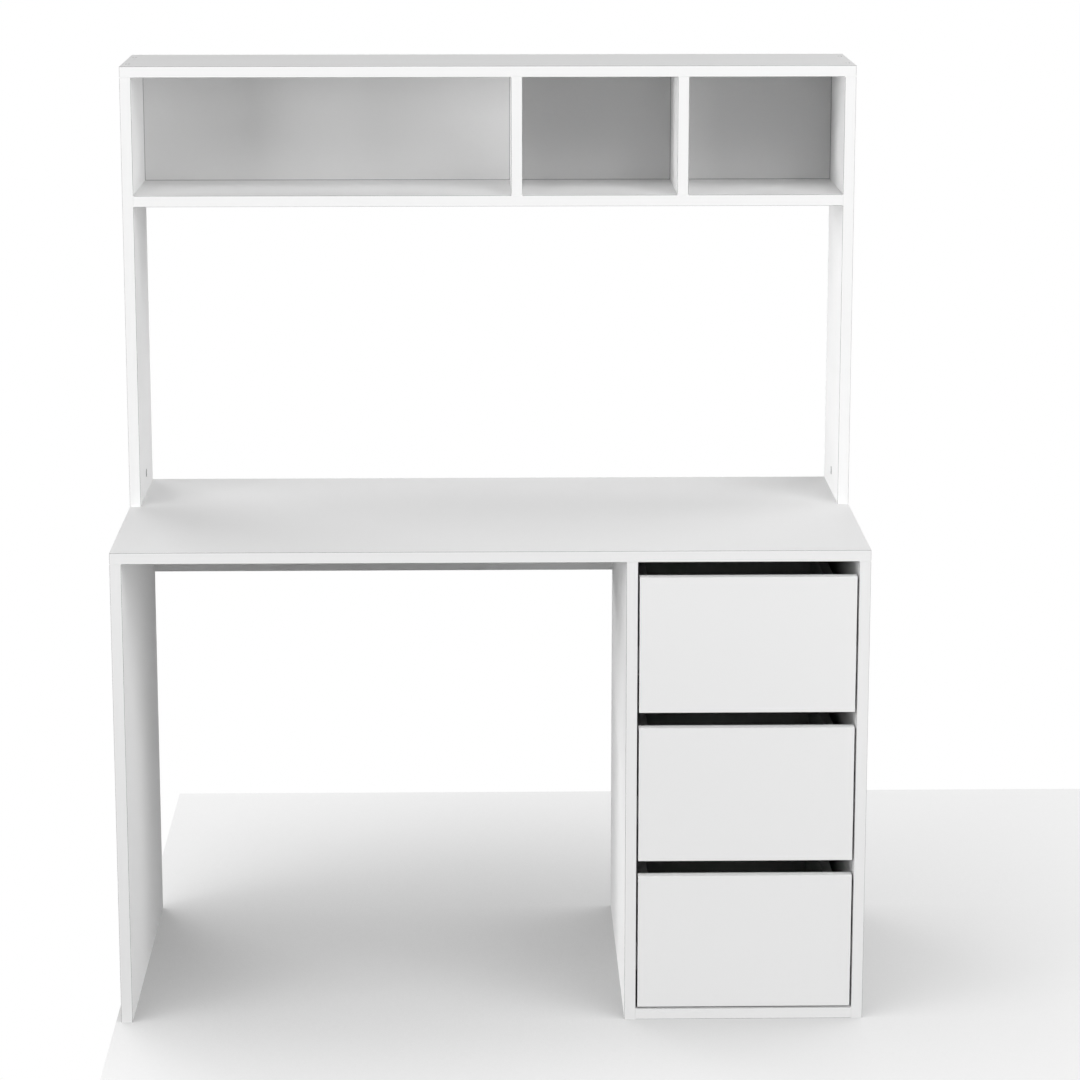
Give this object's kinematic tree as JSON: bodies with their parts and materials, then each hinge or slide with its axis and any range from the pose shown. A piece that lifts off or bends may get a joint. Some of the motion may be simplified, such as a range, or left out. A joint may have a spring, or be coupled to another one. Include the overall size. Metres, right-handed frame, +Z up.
{
  "type": "student desk with hutch",
  "caption": "White board desk with knee space, a pedestal of handleless drawers on telescopic runners, and an open hutch with a divided shelf box above the desktop.",
  "frame": {"origin": "on the floor, under the middle of the desk's footprint", "axes": "+X to the right seen from the front, +Y to the back, +Z up; the drawers open towards -Y"},
  "size_m": [1.2, 0.585, 1.508],
  "materials": {
    "white_board": "white melamine-faced chipboard, satin, with banded edges",
    "white_hardboard": "thin white-lacquered hardboard",
    "zinc_plated_steel": "bright zinc-plated cold-rolled steel",
    "cage_steel": "thin stamped steel strip",
    "zinc": "die-cast zinc, dull",
    "bright_steel": "bright zinc-plated steel",
    "beech": "bare beech"
  },
  "bodies": {
    "carcass": {"desktop": "white_board", "left_side_panel": "white_board", "divider_panel": "white_board", "right_side_panel": "white_board", "base_panel": "white_board", "back_rail": "white_board", "pedestal_back": "white_hardboard", "hutch_left_side": "white_board", "hutch_right_side": "white_board", "hutch_top": "white_board", "hutch_shelf": "white_board", "hutch_left_partition": "white_board", "hutch_right_partition": "white_board", "hutch_back": "white_hardboard", "cam_locks": "zinc", "cam_bolts": "bright_steel", "wood_dowels": "beech", "hutch_top_screws": "bright_steel", "top_left_outer_rail": "zinc_plated_steel", "top_right_outer_rail": "zinc_plated_steel", "middle_left_outer_rail": "zinc_plated_steel", "middle_right_outer_rail": "zinc_plated_steel", "bottom_left_outer_rail": "zinc_plated_steel", "bottom_right_outer_rail": "zinc_plated_steel"},
    "top_drawer": {"top_drawer_front": "white_board", "top_drawer_left_side": "white_board", "top_drawer_right_side": "white_board", "top_drawer_back": "white_board", "top_drawer_bottom": "white_hardboard", "top_left_inner_rail": "zinc_plated_steel", "top_right_inner_rail": "zinc_plated_steel"},
    "top_middle_rails": {"top_left_middle_rail": "zinc_plated_steel", "top_right_middle_rail": "zinc_plated_steel"},
    "top_outer_cages": {"top_outer_ball_cages": "cage_steel"},
    "top_inner_cages": {"top_inner_ball_cages": "cage_steel"},
    "middle_drawer": {"middle_drawer_front": "white_board", "middle_drawer_left_side": "white_board", "middle_drawer_right_side": "white_board", "middle_drawer_back": "white_board", "middle_drawer_bottom": "white_hardboard", "middle_left_inner_rail": "zinc_plated_steel", "middle_right_inner_rail": "zinc_plated_steel"},
    "middle_middle_rails": {"middle_left_middle_rail": "zinc_plated_steel", "middle_right_middle_rail": "zinc_plated_steel"},
    "middle_outer_cages": {"middle_outer_ball_cages": "cage_steel"},
    "middle_inner_cages": {"middle_inner_ball_cages": "cage_steel"},
    "bottom_drawer": {"bottom_drawer_front": "white_board", "bottom_drawer_left_side": "white_board", "bottom_drawer_right_side": "white_board", "bottom_drawer_back": "white_board", "bottom_drawer_bottom": "white_hardboard", "bottom_left_inner_rail": "zinc_plated_steel", "bottom_right_inner_rail": "zinc_plated_steel"},
    "bottom_middle_rails": {"bottom_left_middle_rail": "zinc_plated_steel", "bottom_right_middle_rail": "zinc_plated_steel"},
    "bottom_outer_cages": {"bottom_outer_ball_cages": "cage_steel"},
    "bottom_inner_cages": {"bottom_inner_ball_cages": "cage_steel"}
  },
  "joints": [
    {"name": "top_drawer_slide", "type": "slide", "parent": "carcass", "child": "top_drawer", "axis": [0, -1, 0], "range_m": [0, 0.5]},
    {"name": "top_middle_rail_slide", "type": "slide", "parent": "carcass", "child": "top_middle_rails", "axis": [0, -1, 0], "range_m": [0, 0.25]},
    {"name": "top_outer_cage_slide", "type": "slide", "parent": "carcass", "child": "top_outer_cages", "axis": [0, -1, 0], "range_m": [0, 0.125]},
    {"name": "top_inner_cage_slide", "type": "slide", "parent": "carcass", "child": "top_inner_cages", "axis": [0, -1, 0], "range_m": [0, 0.375]},
    {"name": "middle_drawer_slide", "type": "slide", "parent": "carcass", "child": "middle_drawer", "axis": [0, -1, 0], "range_m": [0, 0.5]},
    {"name": "middle_middle_rail_slide", "type": "slide", "parent": "carcass", "child": "middle_middle_rails", "axis": [0, -1, 0], "range_m": [0, 0.25]},
    {"name": "middle_outer_cage_slide", "type": "slide", "parent": "carcass", "child": "middle_outer_cages", "axis": [0, -1, 0], "range_m": [0, 0.125]},
    {"name": "middle_inner_cage_slide", "type": "slide", "parent": "carcass", "child": "middle_inner_cages", "axis": [0, -1, 0], "range_m": [0, 0.375]},
    {"name": "bottom_drawer_slide", "type": "slide", "parent": "carcass", "child": "bottom_drawer", "axis": [0, -1, 0], "range_m": [0, 0.5]},
    {"name": "bottom_middle_rail_slide", "type": "slide", "parent": "carcass", "child": "bottom_middle_rails", "axis": [0, -1, 0], "range_m": [0, 0.25]},
    {"name": "bottom_outer_cage_slide", "type": "slide", "parent": "carcass", "child": "bottom_outer_cages", "axis": [0, -1, 0], "range_m": [0, 0.125]},
    {"name": "bottom_inner_cage_slide", "type": "slide", "parent": "carcass", "child": "bottom_inner_cages", "axis": [0, -1, 0], "range_m": [0, 0.375]}
  ],
  "couplings": [
    {"joint": "top_middle_rail_slide", "follows": "top_drawer_slide", "ratio": 0.5},
    {"joint": "top_outer_cage_slide", "follows": "top_drawer_slide", "ratio": 0.25},
    {"joint": "top_inner_cage_slide", "follows": "top_drawer_slide", "ratio": 0.75},
    {"joint": "middle_middle_rail_slide", "follows": "middle_drawer_slide", "ratio": 0.5},
    {"joint": "middle_outer_cage_slide", "follows": "middle_drawer_slide", "ratio": 0.25},
    {"joint": "middle_inner_cage_slide", "follows": "middle_drawer_slide", "ratio": 0.75},
    {"joint": "bottom_middle_rail_slide", "follows": "bottom_drawer_slide", "ratio": 0.5},
    {"joint": "bottom_outer_cage_slide", "follows": "bottom_drawer_slide", "ratio": 0.25},
    {"joint": "bottom_inner_cage_slide", "follows": "bottom_drawer_slide", "ratio": 0.75}
  ]
}
